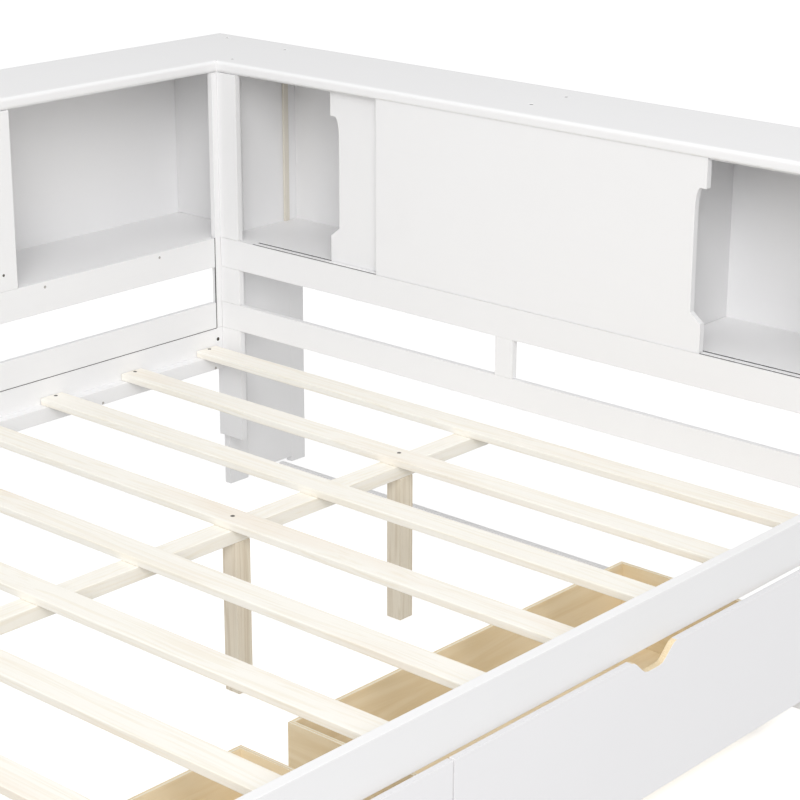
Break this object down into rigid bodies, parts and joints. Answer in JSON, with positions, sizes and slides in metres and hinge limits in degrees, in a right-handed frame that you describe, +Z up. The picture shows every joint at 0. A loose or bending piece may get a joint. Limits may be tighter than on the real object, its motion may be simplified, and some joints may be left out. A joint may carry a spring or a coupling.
{
  "type": "corner storage bed frame",
  "caption": "Slatted double bed frame set in the corner of two low bookcases, one open and one with sliding doors, with roll-out drawers under its free side.",
  "frame": {"origin": "Middle of the bounding box's base, on the floor.", "axes": "+Z up. +X runs along the bed from its foot to the head bookcase. +Y runs across the bed from the drawers to the side bookcase."},
  "size_m": [2.163, 1.651, 0.858],
  "materials": {
    "white_paint": "satin white paint over wood and fibreboard",
    "raw_pine": "unfinished sawn pine, pale cream",
    "raw_hardwood": "unfinished planed wood, greyish tan",
    "raw_plywood": "unfinished plywood, warm tan",
    "screw_steel": "zinc-plated screw heads",
    "caster_plastic": "black moulded plastic"
  },
  "bodies": {
    "bed_frame": {"side_rail": "white_paint", "front_rail": "white_paint", "foot_rail": "white_paint", "back_slat_cleat": "white_paint", "front_slat_cleat": "white_paint", "head_leg": "white_paint", "foot_leg": "white_paint", "corner_post": "white_paint", "head_outer_post": "white_paint", "head_low_rail": "white_paint", "head_shelf_rail": "white_paint", "head_shelf": "white_paint", "head_centre_stile": "white_paint", "corner_front_leg": "white_paint", "corner_back_leg": "white_paint", "corner_end_panel": "white_paint", "head_end_panel": "white_paint", "head_divider_inner": "white_paint", "head_divider_centre": "white_paint", "head_divider_outer": "white_paint", "head_back_panel": "white_paint", "floor_stretcher": "white_paint", "head_top_board": "white_paint", "side_low_rail": "white_paint", "side_shelf_rail": "white_paint", "corner_stile": "white_paint", "side_shelf": "white_paint", "side_corner_panel": "white_paint", "side_foot_panel": "white_paint", "side_back_panel": "white_paint", "side_partition_1": "white_paint", "side_partition_2": "white_paint", "side_top_board": "white_paint", "slat_01": "raw_pine", "slat_02": "raw_pine", "slat_03": "raw_pine", "slat_04": "raw_pine", "slat_05": "raw_pine", "slat_06": "raw_pine", "slat_07": "raw_pine", "slat_08": "raw_pine", "slat_09": "raw_pine", "slat_10": "raw_pine", "centre_beam": "raw_pine", "support_leg_1": "raw_hardwood", "support_leg_2": "raw_hardwood", "support_leg_3": "raw_hardwood", "support_leg_4": "raw_hardwood"},
    "head_drawer": {"drawer_head_front": "white_paint", "drawer_head_side_foot": "raw_plywood", "drawer_head_side_head": "raw_plywood", "drawer_head_back": "raw_plywood", "drawer_head_bottom": "raw_plywood"},
    "foot_drawer": {"drawer_foot_front": "white_paint", "drawer_foot_side_foot": "raw_plywood", "drawer_foot_side_head": "raw_plywood", "drawer_foot_back": "raw_plywood", "drawer_foot_bottom": "raw_plywood"},
    "front_door": {"sliding_door_front": "white_paint"},
    "rear_door": {"sliding_door_rear": "white_paint"}
  },
  "joints": [
    {"name": "head_drawer_slide", "type": "slide", "parent": "bed_frame", "child": "head_drawer", "axis": [0, -1, 0], "range_m": [0, 0.28]},
    {"name": "foot_drawer_slide", "type": "slide", "parent": "bed_frame", "child": "foot_drawer", "axis": [0, -1, 0], "range_m": [0, 0.28]},
    {"name": "front_door_slide", "type": "slide", "parent": "bed_frame", "child": "front_door", "axis": [0, 1, 0], "range_m": [-0.215, 0.315]},
    {"name": "rear_door_slide", "type": "slide", "parent": "bed_frame", "child": "rear_door", "axis": [0, 1, 0], "range_m": [-0.34, 0.19]}
  ]
}
